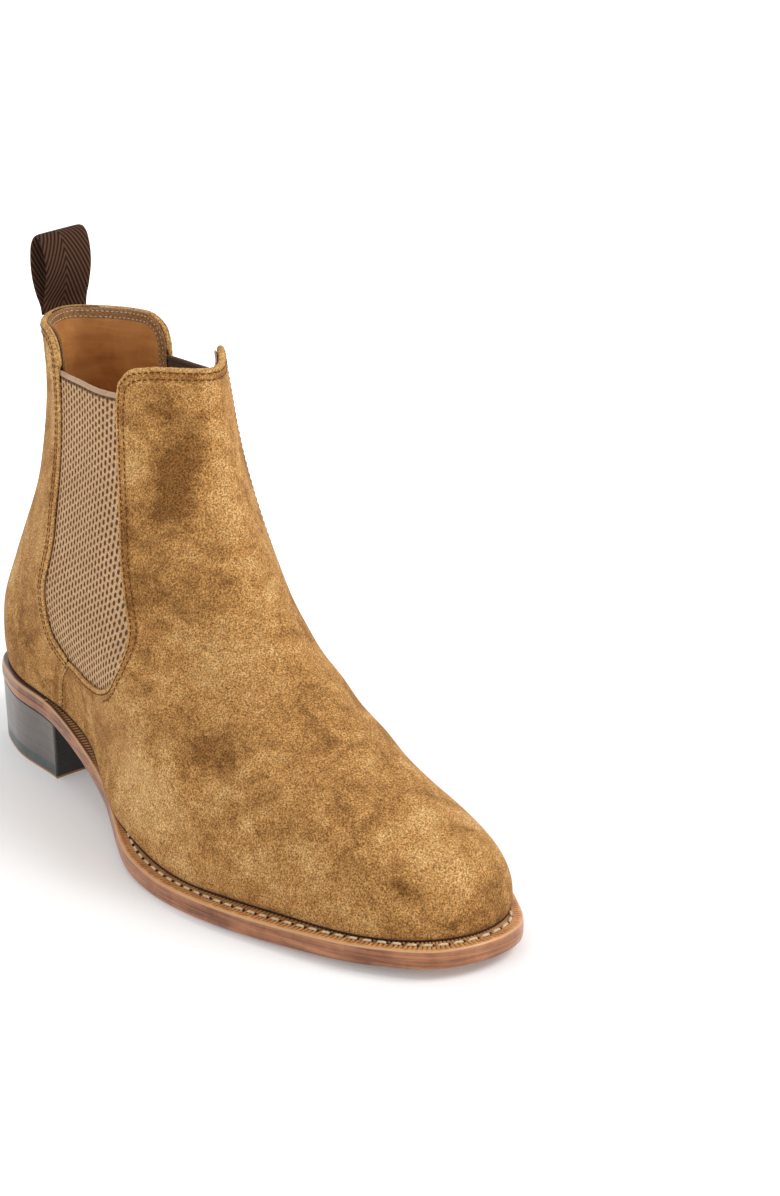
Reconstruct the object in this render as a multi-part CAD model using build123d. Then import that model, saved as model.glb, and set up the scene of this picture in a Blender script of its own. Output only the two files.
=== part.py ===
from build123d import *
import math
import os

import numpy as np

# Right-foot chelsea boot, millimetres.  +X to the toe, +Y to the inner (medial) side, +Z up.
# The origin is on the ground, under the middle of the sole's bounding box.

# ---------------------------------------------------------------- driving dimensions
AXIS_Y = 3.05              # the last's centre line stands this far to the medial side of the box centre
TOE_SWING = 6.5            # how far the centre line swings to the medial side at the toe
SWING_START = 30.0         # x where the swing begins
SWING_RUN = 115.0          # length over which it grows

OUTSOLE_THICK = 4.1
WELT_THICK = 3.0
INSOLE_THICK = 3.0
SOCK_THICK = 1.2
STRIP_WIDTH = 11.0         # width of the welt and of the heel rand
RIB_WIDTH = 2.0
WELT_TOP = OUTSOLE_THICK + WELT_THICK
INSOLE_TOP = WELT_TOP + INSOLE_THICK
HEEL_BREAST = -75.0        # x of the heel's front face at its sides
BREAST_HOLLOW = 3.5        # how far the middle of that face is hollowed back
SEAT_INSET = 0.4           # inset of the heel's seat from the sole's edge
HEEL_TAPER = 1.0           # and of its foot
HEEL_CEILING = 40.0        # above the whole heel; the outsole's underside cuts it off lower
BREAST_WIDTH = 66.0        # chord of the hollow
TOP_PIECE_THICK = 5.0      # rubber top piece that meets the ground
LIFT_THICK = 5.0
LIFT_COUNT = 3             # whole lifts; the wedge above them follows the seat

SUEDE_THICK = 1.55
LAYER_GAP = 0.05           # glue line between two layers of the upper
MIDDLE_THICK = 1.15        # elastic, toe puff, heel counter and back stay share this layer
LINING_THICK = 1.0
MIDDLE_OUT = SUEDE_THICK + LAYER_GAP
MIDDLE_IN = MIDDLE_OUT + MIDDLE_THICK
LINING_OUT = MIDDLE_IN + LAYER_GAP
LINING_IN = LINING_OUT + LINING_THICK

BACK_TOP = 174.0           # topline height at the back panel
FRONT_TOP = 170.0          # topline height at the front panel
GORE_TOP = 159.0           # top of the elastic
HEM_HEIGHT = 3.0           # rolled hem along the elastic's top
HEM_PROUD = 0.9            # and how far it stands out from the elastic
GORE_MARGIN = 7.0          # elastic hidden under the suede round the window

SHAFT_HINGE = (-10.0, 64.0)    # x, z: low front corner of the elastic, where the front shaft tips
CREASE_LOW = 8.0               # degrees above level: lower edge of the instep crease
CREASE_HIGH = 20.0             # and its upper edge
CREASE_GAP = 0.2               # degrees left open each side of the crease

LOOP_WIDTH = 20.0
LOOP_THICK = 1.4
LOOP_HINGE = (-117.0, 176.4)   # x, z of the line the pull loop flops about
LOOP_HEIGHT = 26.0
LOOP_DEPTH = 13.0
TAIL_LENGTH = 26.0         # webbing hidden between back panel and lining
STAY_WIDTH = 18.0          # strip that backs the shaft below the tails
STAY_FOOT = 92.0

NAIL_RADIUS = 1.0
NAIL_LENGTH = 17.0
NAIL_FOOT = 3.0
NAIL_SPOTS = [(-140, 0), (-130, 18), (-130, -16), (-108, 25), (-108, -23), (-88, 23), (-88, -24)]

SHANK_LENGTH = 95.0
SHANK_WIDTH = 13.0
SHANK_THICK = 1.5
SHANK_MIDDLE = -38.0       # x of its middle
SHANK_SHIFT = 5.0          # it lies this far to the outer side of the centre line

HALF_DEPTH = 90.0          # half length of every prism that is cut sideways through the boot
FAR = 220.0                # beyond every face of the boot
DEEP = -30.0               # below every face of the boot
HINGE_CLEARANCE = 0.3      # room above and below the corner that the front shaft tips about

# Outline of the sole seen from above, from the back of the heel round the outer side to the toe.
SOLE_OUTLINE = [
    (-150, 0), (-138, -23.5), (-112, -33.5), (-75, -34.5), (-26, -40), (24, -54.5), (58, -52.5),
    (99, -40), (131, -24.5), (146, -10.5), (150, 6.5), (146, 21.5), (126, 35.5), (96, 45.5),
    (60, 48.5), (15, 35.5), (-25, 23.5), (-75, 28.5), (-112, 32.5), (-138, 23.5),
]
# Underside of the outsole seen from the side: heel seat, waist, ball and toe spring.
SOLE_UNDERSIDE = [
    (-170, 25.2), (-150, 25), (-112, 24), (-78, 22.5), (-40, 14.5), (-5, 5), (35, 0), (70, 0.4),
    (110, 1.6), (150, 4), (170, 5.6),
]

# Level sections of the upper: height, back end, front end, then the half widths of the outer
# and of the inner side at seven places along the section.
PLACES = np.array([0.04, 0.15, 0.32, 0.50, 0.68, 0.85, 0.96])
SECTIONS = [
    (-20, -148.5, 143.5, (22.5, 33, 32.5, 46, 48, 36, 22.5), (22.5, 31.5, 21.5, 23.5, 41, 35.5, 24)),
    (8, -148.5, 143.5, (22.5, 33, 32.5, 46, 48, 36, 22.5), (22.5, 31.5, 21.5, 23.5, 41, 35.5, 24)),
    (20, -148.5, 142, (22.5, 33, 32.5, 46, 48, 35.5, 22), (22.5, 31.5, 21.5, 23.5, 41, 35.5, 24)),
    (30, -149.3, 139, (21, 32, 32, 42.5, 47.5, 34, 20.5), (22, 31, 21.5, 24, 40, 32, 20)),
    (42, -149.6, 119, (21, 32, 32.5, 41, 47, 35, 21), (21, 30.5, 24, 27.5, 38, 26, 15)),
    (56, -149, 83.5, (19.5, 30, 33.5, 38.5, 43, 31.5, 18), (18.5, 29, 28, 33.5, 37, 25, 14)),
    (75, -144.5, 49, (14.5, 25.5, 34, 36.5, 36, 24, 12.5), (13.5, 25, 34, 38, 35.5, 23, 12)),
    (100, -131, 20, (11.5, 21, 29, 32, 32.5, 23.5, 11), (11.5, 21, 29, 32, 32.5, 22.5, 11)),
    (130, -119, 4, (10, 18, 25, 27.5, 28, 21, 9.5), (10, 18, 25, 27.5, 28, 19, 9)),
    (165, -115, -5, (9.3, 18.5, 24, 25.5, 26, 19, 8.2), (9.3, 18.5, 24, 25.5, 25, 16.5, 7.5)),
    (190, -117.5, -5, (9.3, 20, 24.5, 25.5, 25.3, 18.7, 8.5), (9.3, 20, 24.5, 25.5, 23, 14, 6.8)),
    (215, -117.5, -5, (9.3, 20, 24.5, 25.5, 25.3, 18.7, 8.5), (9.3, 20, 24.5, 25.5, 23, 14, 6.8)),
]
LOFT_HEIGHTS = [-20, -6, 8, 14, 20, 25, 30, 36, 42, 47, 52, 58, 64, 71, 78, 87, 96, 108, 120, 134,
                148, 160, 172, 184, 215]
LOOP_POINTS = 32           # points of each level section of a loft
CAP_STEP = 2.0             # each deeper loft runs this much further at both ends

# Side-view outlines, (x, z).
GORE_BACK = [(-75.5, 152), (-76, 138), (-75, 112), (-74.5, 92), (-77, 74)]
GORE_FOOT = [(-74.5, 60), (-60, 52.5), (-38, 51.5), (-21, 54.5)]
GORE_FRONT = [(-9.5, 72), (-16.5, 88), (-24.5, 112), (-30, 138), (-31.5, 156)]
GORE_HIDDEN_FOOT = [(-80, 54), (-60, 45.5), (-38, 44.5), (-18, 47.5), (-3, 64)]
SIDE_SEAM = [(-60, 52.5), (-69, 44), (-72.5, 31), (-73, DEEP)]
BACK_CORNER = [(-96, BACK_TOP), (-85, BACK_TOP - 0.8), (-78, BACK_TOP - 5), (-75.5, 163)]
FRONT_CORNER = [(-31, 163), (-26.5, FRONT_TOP - 2), (-18, FRONT_TOP)]
COUNTER_EDGE = [(-140, 86), (-112, 76), (-94, 60), (-84, 36)]
TOE_PUFF_EDGE = [(84, DEEP), (96, 90)]


# ---------------------------------------------------------------- the last's surface
def smooth_weights(keys, places):
    """Rows of weights that turn values at keys into a smooth curve's values at places."""
    keys = np.asarray(keys, float)
    places = np.atleast_1d(np.asarray(places, float))
    count = len(keys)
    gap = np.diff(keys)
    slope = np.zeros((count, count))
    for i in range(1, count - 1):
        before, after = gap[i - 1], gap[i]
        slope[i, i - 1] = -after / (before * (before + after))
        slope[i, i] = (after - before) / (before * after)
        slope[i, i + 1] = before / (after * (before + after))
    slope[0, :2] = (-1 / gap[0], 1 / gap[0])
    slope[-1, -2:] = (-1 / gap[-1], 1 / gap[-1])
    left = np.clip(np.searchsorted(keys, places, side="right") - 1, 0, count - 2)
    step = gap[left]
    s = (places - keys[left]) / step
    rows = np.arange(len(places))
    weights = np.zeros((len(places), count))
    weights[rows, left] += (1 + 2 * s) * (1 - s) ** 2
    weights[rows, left + 1] += s * s * (3 - 2 * s)
    weights += (step * s * (1 - s) ** 2)[:, None] * slope[left]
    weights += (step * s * s * (s - 1))[:, None] * slope[left + 1]
    return weights


def centre_line(x):
    """y of the last's centre line."""
    return AXIS_Y + TOE_SWING * np.clip((x - SWING_START) / SWING_RUN, 0, 1) ** 1.3


def skin(heights, angles):
    """Points of the upper's outer surface; angle 0 is the back, pi the front."""
    keys = [row[0] for row in SECTIONS]
    down = smooth_weights(keys, np.clip(heights, keys[0], keys[-1]))
    back = down @ np.array([row[1] for row in SECTIONS], float)
    front = down @ np.array([row[2] for row in SECTIONS], float)
    along = (1 - np.cos(angles)) / 2
    rounding = 2 * np.sqrt(PLACES * (1 - PLACES))
    full = smooth_weights(PLACES, along) / rounding
    outer = down @ np.array([row[3] for row in SECTIONS], float) @ full.T
    inner = down @ np.array([row[4] for row in SECTIONS], float) @ full.T
    width = np.where(np.sin(angles) >= 0, outer, inner)
    x = back[:, None] + (front - back)[:, None] * along
    y = centre_line(x) - width * np.sin(angles)
    z = np.repeat(np.asarray(heights, float)[:, None], len(angles), axis=1)
    return np.stack([x, y, z], axis=-1)


def skin_inside(heights, angles, depth):
    """Points of the surface that lies depth inside the outer one."""
    heights = np.asarray(heights, float)
    step_z, step_a = 0.5, 0.01
    up = skin(heights + step_z, angles)
    low = skin(heights - step_z, angles)
    across = skin(heights, angles + step_a) - skin(heights, angles - step_a)
    inward = np.cross(up - low, across)
    inward /= np.linalg.norm(inward, axis=-1, keepdims=True)
    return skin(heights, angles) + depth * inward


def last_solid(depth):
    """Closed solid whose side lies depth inside the upper's outer surface."""
    angles = np.arange(LOOP_POINTS) * 2 * math.pi / LOOP_POINTS
    knots = [i / LOOP_POINTS for i in range(LOOP_POINTS + 1)]
    further = CAP_STEP * (1 + depth)
    heights = [LOFT_HEIGHTS[0] - further, *LOFT_HEIGHTS, LOFT_HEIGHTS[-1] + further]
    grid = skin_inside(heights, angles, depth)
    grid[0, :, 2] = heights[0]
    grid[-1, :, 2] = heights[-1]
    wires = []
    for row in grid:
        points = [Vector(*[float(v) for v in point]) for point in row]
        wires.append(Wire([Edge.make_spline(points, periodic=True, parameters=knots)]))
    return Solid.make_loft(wires)


# ---------------------------------------------------------------- helpers for prisms
def side_prism(wire):
    """Prism right through the boot from a closed side-view outline."""
    face = make_face(wire)
    return extrude(Plane.XZ.offset(-HALF_DEPTH) * face, amount=2 * HALF_DEPTH)


def side_polygon(points):
    return side_prism(Polyline(*points, close=True))


def sole_band(low, high):
    """Layer that follows the underside of the outsole, from low to high above it."""
    lower = Spline(*[(x, z + low) for x, z in SOLE_UNDERSIDE])
    upper = Spline(*[(x, z + high) for x, z in SOLE_UNDERSIDE])
    outline = [lower, Line(lower @ 1, upper @ 1), upper, Line(upper @ 0, lower @ 0)]
    return side_prism(outline)


def sole_edge():
    """Closed curve of the sole's outline on the ground."""
    return Edge.make_spline([Vector(x, y + AXIS_Y) for x, y in SOLE_OUTLINE], periodic=True)


def outline_prism(inset):
    """Upright prism of the sole's outline, inset inwards, from far below to above the sole."""
    edge = inset_edge(sole_edge(), inset) if inset else sole_edge()
    face = Face(Wire([edge]))
    return extrude(Pos(0, 0, DEEP) * face, amount=HALF_DEPTH - DEEP)


def inset_edge(edge, inset, samples=60):
    """The closed curve that runs inset inside a closed level curve."""
    points = []
    for i in range(samples):
        at = edge.position_at(i / samples)
        along = edge.tangent_at(i / samples)
        points.append(Vector(at.X - along.Y * inset, at.Y + along.X * inset))
    knots = [i / samples for i in range(samples + 1)]
    return Edge.make_spline(points, periodic=True, parameters=knots)


def block(low, high):
    """Upright box between two corners."""
    size = [b - a for a, b in zip(low, high)]
    middle = [(a + b) / 2 for a, b in zip(low, high)]
    return Pos(*middle) * Box(*size)


def ray(angle, reach=260.0):
    """Far end of a side-view line that leaves the shaft hinge at an angle above level."""
    x, z = SHAFT_HINGE
    return (x + reach * math.cos(math.radians(angle)), z + reach * math.sin(math.radians(angle)))


# ---------------------------------------------------------------- side-view regions of the upper
def back_panel_region():
    """Back panel: topline, rounded corner, rear edge of the elastic and the side seam."""
    top = Line((-FAR, BACK_TOP + 1), BACK_CORNER[0])
    corner = Spline(*BACK_CORNER, *GORE_BACK)
    foot = Spline(GORE_BACK[-1], *GORE_FOOT[:2])
    seam = Spline(*SIDE_SEAM)
    end = Polyline(SIDE_SEAM[-1], (-FAR, DEEP), (-FAR, BACK_TOP + 1))
    return side_prism([top, corner, foot, seam, end])


def front_shaft_region():
    """Front panel above the instep crease."""
    x, z = SHAFT_HINGE
    start = (x, z + HINGE_CLEARANCE)
    edge = Spline(start, *GORE_FRONT, *FRONT_CORNER)
    far = ray(CREASE_HIGH + CREASE_GAP)
    rest = Polyline(FRONT_CORNER[-1], (far[0], FRONT_TOP), far, start)
    return side_prism([edge, rest])


def crease_region():
    """Wedge across the instep that wrinkles when the front shaft tips."""
    return side_polygon([SHAFT_HINGE, ray(CREASE_LOW + CREASE_GAP), ray(CREASE_HIGH - CREASE_GAP)])


def vamp_region():
    """Everything in front of the side seam and below the crease."""
    x, z = SHAFT_HINGE
    end = (x, z - HINGE_CLEARANCE)
    foot = Spline(*GORE_FOOT[1:], (x - 1.5, z - 4), end)
    seam = Spline(*SIDE_SEAM)
    far = ray(CREASE_LOW - CREASE_GAP)
    rest = Polyline(end, far, (far[0], DEEP), SIDE_SEAM[-1])
    return side_prism([foot, seam, rest])


def gore_region():
    """Elastic with its hidden margin, up to the hem."""
    grow = GORE_MARGIN
    left = [(x - grow, z) for x, z in GORE_BACK]
    right = [(x + grow, z) for x, z in GORE_FRONT]
    top_left = (left[0][0], GORE_TOP - HEM_HEIGHT)
    top_right = (right[-1][0], GORE_TOP - HEM_HEIGHT)
    edge = Spline(top_left, *left[1:], *GORE_HIDDEN_FOOT, *right[:-1], top_right)
    return side_prism([edge, Line(top_right, top_left)])


def hem_region():
    """Rolled hem along the top of the elastic, as wide as the window."""
    left, right = GORE_BACK[0][0] + 0.3, GORE_FRONT[-1][0] - 0.3
    return side_polygon([
        (left, GORE_TOP - HEM_HEIGHT), (right, GORE_TOP - HEM_HEIGHT), (right, GORE_TOP), (left, GORE_TOP),
    ])


def toe_puff_region():
    low, high = TOE_PUFF_EDGE
    return side_polygon([low, (FAR, DEEP), (FAR, high[1]), high])


def counter_region():
    """Heel counter: up the back of the heel and forward along both sides."""
    top, foot = COUNTER_EDGE[0], COUNTER_EDGE[-1]
    rest = Polyline(foot, (foot[0] + 6, DEEP), (-FAR, DEEP), (-FAR, top[1] + 2), top)
    return side_prism([Spline(*COUNTER_EDGE), rest])


def back_strip(width, low, high):
    """Upright strip of the given width up the back of the shaft."""
    return block((-FAR, AXIS_Y - width / 2, low), (-90, AXIS_Y + width / 2, high))


# ---------------------------------------------------------------- sub-parts
def upper_layer(outer_depth, inner_depth, floor):
    """One layer of the upper, open at the top, standing on the sole."""
    return (last_solid(outer_depth) - floor) - (last_solid(inner_depth) - floor)


def side_half(shape, medial):
    """The outer-side or inner-side half of a shape of the shaft."""
    if medial:
        return shape & block((-FAR, AXIS_Y, DEEP), (FAR, HALF_DEPTH, FAR))
    return shape & block((-FAR, -HALF_DEPTH, DEEP), (FAR, AXIS_Y, FAR))


def heel_block():
    """Tapered heel below the outsole, with its hollowed breast."""
    foot = Wire([inset_edge(sole_edge(), HEEL_TAPER)])
    seat = Wire([Pos(0, 0, HEEL_CEILING) * inset_edge(sole_edge(), SEAT_INSET)])
    body = Solid.make_loft([foot, seat], ruled=True)
    radius = (BREAST_WIDTH ** 2 / 4 + BREAST_HOLLOW ** 2) / (2 * BREAST_HOLLOW)
    hollow = Pos(HEEL_BREAST - BREAST_HOLLOW + radius, 0, 0) * Cylinder(radius, 2 * HEEL_CEILING)
    reach = block((-FAR, -HALF_DEPTH, -1), (HEEL_BREAST, HALF_DEPTH, HEEL_CEILING))
    under_sole = sole_band(2 * DEEP, 0)
    return ((body & reach) - hollow) & under_sole


def heel_parts(heel, nails):
    """Rubber top piece, whole leather lifts and the wedge that meets the heel seat."""
    parts = {}
    cuts = [0.0, TOP_PIECE_THICK]
    for i in range(LIFT_COUNT):
        cuts.append(TOP_PIECE_THICK + LIFT_THICK * (i + 1))
    cuts.append(HEEL_CEILING)
    names = ["heel_top_piece"] + [f"heel_lift_{i + 1}" for i in range(LIFT_COUNT)] + ["heel_wedge_lift"]
    for name, low, high in zip(names, cuts[:-1], cuts[1:]):
        parts[name] = heel & block((-FAR, -HALF_DEPTH, low), (FAR, HALF_DEPTH, high))
        for nail in nails:
            if low < NAIL_FOOT + NAIL_LENGTH and high > NAIL_FOOT:
                parts[name] -= nail
    return parts


def heel_nails():
    """Steel nails that hold the heel together, driven up through the lifts."""
    nails = []
    for x, y in NAIL_SPOTS:
        nails.append(Pos(x, y + AXIS_Y, NAIL_FOOT + NAIL_LENGTH / 2) * Cylinder(NAIL_RADIUS, NAIL_LENGTH))
    return nails


def bottom_parts():
    """Outsole, welt, rand, rib, cork, shank, seat filler, insole and sock liner."""
    whole = outline_prism(0)
    inside_strip = outline_prism(STRIP_WIDTH)
    inside_rib = outline_prism(STRIP_WIDTH + RIB_WIDTH)
    behind = block((-FAR, -HALF_DEPTH, DEEP), (HEEL_BREAST, HALF_DEPTH, FAR))
    ahead = block((HEEL_BREAST, -HALF_DEPTH, DEEP), (FAR, HALF_DEPTH, FAR))
    middle_band = sole_band(OUTSOLE_THICK, WELT_TOP)
    strip = middle_band & (whole - inside_strip)
    rib = middle_band & (inside_strip - inside_rib) & ahead
    core = middle_band & inside_rib & ahead
    shank_y = AXIS_Y - SHANK_SHIFT
    shank_box = block(
        (SHANK_MIDDLE - SHANK_LENGTH / 2, shank_y - SHANK_WIDTH / 2, DEEP),
        (SHANK_MIDDLE + SHANK_LENGTH / 2, shank_y + SHANK_WIDTH / 2, FAR),
    )
    shank = sole_band(WELT_TOP - SHANK_THICK, WELT_TOP) & shank_box & ahead
    return {
        "outsole": sole_band(0, OUTSOLE_THICK) & whole,
        "welt": strip & ahead,
        "heel_rand": strip & behind,
        "insole_rib": rib,
        "cork_filler": core - shank,
        "shank": shank,
        "heel_seat_filler": middle_band & inside_strip & behind,
    }


def upper_parts():
    """Suede panels, elastic, stiffeners, lining, insole and sock liner."""
    floor = sole_band(2 * DEEP, WELT_TOP)
    suede = upper_layer(0, SUEDE_THICK, floor)
    middle = upper_layer(MIDDLE_OUT, MIDDLE_IN, floor)
    lining = upper_layer(LINING_OUT, LINING_IN, floor)
    rolled = upper_layer(MIDDLE_OUT - HEM_PROUD, MIDDLE_IN, floor) & hem_region()
    foot_room = last_solid(LINING_IN + LAYER_GAP)
    gore = middle & gore_region()
    parts = {
        "gore_lateral": side_half(gore, False),
        "gore_medial": side_half(gore, True),
        "gore_hem_lateral": side_half(rolled, False),
        "gore_hem_medial": side_half(rolled, True),
        "toe_puff": middle & toe_puff_region(),
        "heel_counter": middle & counter_region(),
        "back_stay": middle & back_strip(STAY_WIDTH, STAY_FOOT, BACK_TOP - TAIL_LENGTH - 3),
        "pull_loop_tails": middle & back_strip(LOOP_WIDTH, BACK_TOP - TAIL_LENGTH, BACK_TOP),
        "insole": foot_room & sole_band(WELT_TOP, INSOLE_TOP),
        "sock_liner": foot_room & sole_band(INSOLE_TOP, INSOLE_TOP + SOCK_THICK),
    }
    regions = {
        "back_panel": back_panel_region(),
        "front_shaft": front_shaft_region(),
        "instep_crease": crease_region(),
        "vamp": vamp_region(),
    }
    for name, region in regions.items():
        parts[name] = suede & region
        parts[name.replace("_panel", "") + "_lining"] = lining & region
    return parts


def pull_loop():
    """Webbing loop: a teardrop band that narrows to its sewn foot."""
    x, z = LOOP_HINGE
    half = LOOP_DEPTH / 2
    outer = Spline(
        (x, z - 2), (x - 1.9, z), (x - half, z + 13), (x - half + 1, z + 22), (x, z + LOOP_HEIGHT),
        (x + half - 1, z + 22), (x + half, z + 13), (x + 1.9, z), periodic=True,
    )
    t = LOOP_THICK
    inner = Spline(
        (x, z + 3.5), (x - half + t, z + 13), (x - half + 1 + t, z + 21.6), (x, z + LOOP_HEIGHT - t),
        (x + half - 1 - t, z + 21.6), (x + half - t, z + 13), periodic=True,
    )
    plane = Plane.XZ.offset(-AXIS_Y - LOOP_WIDTH / 2)
    outer_solid = extrude(plane * make_face(outer), amount=LOOP_WIDTH)
    inner_solid = extrude(plane * make_face(inner), amount=LOOP_WIDTH)
    return outer_solid - inner_solid


def export(parts):
    os.makedirs("parts", exist_ok=True)
    for name, shape in parts.items():
        export_step(shape, f"parts/{name}.step")


nails = heel_nails()
parts = {"heel_nails": Compound(children=nails), "pull_loop": pull_loop()}
parts.update(bottom_parts())
parts.update(heel_parts(heel_block(), nails))
parts.update(upper_parts())
export(parts)
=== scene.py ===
import bpy
import math

import numpy as np
from mathutils import Matrix, Vector


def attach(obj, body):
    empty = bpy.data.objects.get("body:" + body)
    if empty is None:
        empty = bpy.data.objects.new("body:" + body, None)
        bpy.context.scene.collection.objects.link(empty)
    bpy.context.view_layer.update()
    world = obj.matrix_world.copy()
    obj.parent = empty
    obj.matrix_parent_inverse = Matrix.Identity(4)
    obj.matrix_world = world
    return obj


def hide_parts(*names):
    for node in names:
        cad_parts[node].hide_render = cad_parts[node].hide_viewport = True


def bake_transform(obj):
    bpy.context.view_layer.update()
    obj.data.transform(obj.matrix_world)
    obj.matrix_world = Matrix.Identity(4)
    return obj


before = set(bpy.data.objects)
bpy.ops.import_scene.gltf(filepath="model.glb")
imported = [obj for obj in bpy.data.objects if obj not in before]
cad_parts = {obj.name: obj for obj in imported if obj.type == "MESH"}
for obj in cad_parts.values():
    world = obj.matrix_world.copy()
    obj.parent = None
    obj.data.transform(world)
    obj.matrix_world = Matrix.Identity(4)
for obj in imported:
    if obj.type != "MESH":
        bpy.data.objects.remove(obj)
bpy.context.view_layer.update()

# Lengths below are millimetres in the shared frame; MM turns them into Blender's metres.
MM = 0.001

# ---- the boot's driving dimensions
AXIS_Y = 3.05
TOE_SWING = 6.5
SWING_START = 30.0
SWING_RUN = 115.0
OUTSOLE_THICK = 4.1
RIB_DEPTH = 0.4
RIB_PITCH = 1.7
WELT_TOP = 7.1
# Depths of the layers' faces behind the upper's outer surface.
SUEDE_THICK = 1.55
GORE_OUT = 1.6
GORE_IN = 2.75
LINING_OUT = 2.8
LINING_IN = 3.8
# The upper turns in above the welt, over this height and by this depth.
TUCK_HEIGHT = 2.6
TUCK_DEPTH = 1.35
BACK_TOP = 174.0
FRONT_TOP = 170.0
GORE_TOP = 159.0
HEM_HEIGHT = 3.0
SEAT_HEIGHT = 25.0
HEEL_BREAST = -75.0
STITCH_START = -24.0
BREAST_HOLLOW = 3.5
TOP_PIECE_THICK = 5.0
LIFT_THICK = 5.0
LIFT_COUNT = 3
# Beyond the boot: where a side-view outline may run straight.
FAR = 220.0
# Closer to the outline than this, a vertex is on the rim, and both faces of a shell share it.
ON_RIM = 1e-6
TAU = 2 * math.pi
SIDES = (("lateral", False), ("medial", True))
# Pitch, length and radius of a stitch.
UPPER_STITCH = (2.3, 1.7, 0.27)
LINING_STITCH = (2.0, 1.1, 0.2)
BAR_TACK = (2.6, 2.4, 0.35)
WELT_STITCH = (5.1, 3.9, 0.55)
NEEDLE_HOLE = (5.1, 0.9, 0.5)

PLACES = np.array([0.04, 0.15, 0.32, 0.50, 0.68, 0.85, 0.96])
SECTIONS = [
    (-20, -148.5, 143.5, (22.5, 33, 32.5, 46, 48, 36, 22.5), (22.5, 31.5, 21.5, 23.5, 41, 35.5, 24)),
    (8, -148.5, 143.5, (22.5, 33, 32.5, 46, 48, 36, 22.5), (22.5, 31.5, 21.5, 23.5, 41, 35.5, 24)),
    (20, -148.5, 142, (22.5, 33, 32.5, 46, 48, 35.5, 22), (22.5, 31.5, 21.5, 23.5, 41, 35.5, 24)),
    (30, -149.3, 139, (21, 32, 32, 42.5, 47.5, 34, 20.5), (22, 31, 21.5, 24, 40, 32, 20)),
    (42, -149.6, 119, (21, 32, 32.5, 41, 47, 35, 21), (21, 30.5, 24, 27.5, 38, 26, 15)),
    (56, -149, 83.5, (19.5, 30, 33.5, 38.5, 43, 31.5, 18), (18.5, 29, 28, 33.5, 37, 25, 14)),
    (75, -144.5, 49, (14.5, 25.5, 34, 36.5, 36, 24, 12.5), (13.5, 25, 34, 38, 35.5, 23, 12)),
    (100, -131, 20, (11.5, 21, 29, 32, 32.5, 23.5, 11), (11.5, 21, 29, 32, 32.5, 22.5, 11)),
    (130, -119, 4, (10, 18, 25, 27.5, 28, 21, 9.5), (10, 18, 25, 27.5, 28, 19, 9)),
    (165, -115, -5, (9.3, 18.5, 24, 25.5, 26, 19, 8.2), (9.3, 18.5, 24, 25.5, 25, 16.5, 7.5)),
    (190, -117.5, -5, (9.3, 20, 24.5, 25.5, 25.3, 18.7, 8.5), (9.3, 20, 24.5, 25.5, 23, 14, 6.8)),
    (215, -117.5, -5, (9.3, 20, 24.5, 25.5, 25.3, 18.7, 8.5), (9.3, 20, 24.5, 25.5, 23, 14, 6.8)),
]
SOLE_OUTLINE = [
    (-150, 0), (-138, -23.5), (-112, -33.5), (-75, -34.5), (-26, -40), (24, -54.5), (58, -52.5),
    (99, -40), (131, -24.5), (146, -10.5), (150, 6.5), (146, 21.5), (126, 35.5), (96, 45.5),
    (60, 48.5), (15, 35.5), (-25, 23.5), (-75, 28.5), (-112, 32.5), (-138, 23.5),
]
SOLE_UNDERSIDE = [
    (-170, 25.2), (-150, 25), (-112, 24), (-78, 22.5), (-40, 14.5), (-5, 5), (35, 0), (70, 0.4),
    (110, 1.6), (150, 4), (170, 5.6),
]

# Side-view outlines of the panels, (x, z).
GORE_BACK = [
    (-75.5, 163), (-75.5, 152), (-76, 138), (-75, 112), (-74.5, 92), (-77, 74), (-74.5, 60), (-60, 52.5),
]
GORE_FOOT = [(-60, 52.5), (-38, 51.5), (-21, 54.5), (-12, 59.5), (-9.4, 66)]
GORE_FRONT = [(-9.4, 66), (-9.5, 72), (-16.5, 88), (-24.5, 112), (-30, 138), (-31.5, 156), (-31, 163)]
FRONT_CORNER = [(-31, 163), (-26.5, FRONT_TOP - 2), (-18, FRONT_TOP)]
BACK_CORNER = [(-96, BACK_TOP), (-85, BACK_TOP - 0.8), (-78, BACK_TOP - 5), (-75.5, 163)]
SIDE_SEAM = [(-60, 52.5), (-69, 44), (-72.5, 31), (-73, -30)]

# Where the pull loop's tape turns, above its sewn foot.
LOOP_BEND_START = (-117.0, AXIS_Y, 173.5)
LOOP_HALF_WIDTH = 9.0
LOOP_HALF_THICK = 0.7


# ---- the last's surface
def smooth_weights(keys, places):
    """Rows of weights that turn values at keys into a smooth curve's values at places."""
    keys = np.asarray(keys, float)
    places = np.atleast_1d(np.asarray(places, float))
    count = len(keys)
    gap = np.diff(keys)
    slope = np.zeros((count, count))
    before, after, inner = gap[:-1], gap[1:], np.arange(1, count - 1)
    slope[inner, inner - 1] = -after / (before * (before + after))
    slope[inner, inner] = (after - before) / (before * after)
    slope[inner, inner + 1] = before / (after * (before + after))
    slope[0, :2] = (-1 / gap[0], 1 / gap[0])
    slope[-1, -2:] = (-1 / gap[-1], 1 / gap[-1])
    left = np.clip(np.searchsorted(keys, places, side="right") - 1, 0, count - 2)
    step = gap[left]
    s = (places - keys[left]) / step
    rows = np.arange(len(places))
    weights = np.zeros((len(places), count))
    weights[rows, left] += (1 + 2 * s) * (1 - s) ** 2
    weights[rows, left + 1] += s * s * (3 - 2 * s)
    weights += (step * s * (1 - s) ** 2)[:, None] * slope[left]
    weights += (step * s * s * (s - 1))[:, None] * slope[left + 1]
    return weights


def smooth_path(points, step=1.0):
    """Dense points of a smooth curve through the given ones."""
    points = np.asarray(points, float)
    reach = path_reach(points)
    count = max(int(reach[-1] / step), 2)
    return smooth_weights(reach, np.linspace(0, reach[-1], count + 1)) @ points


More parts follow.
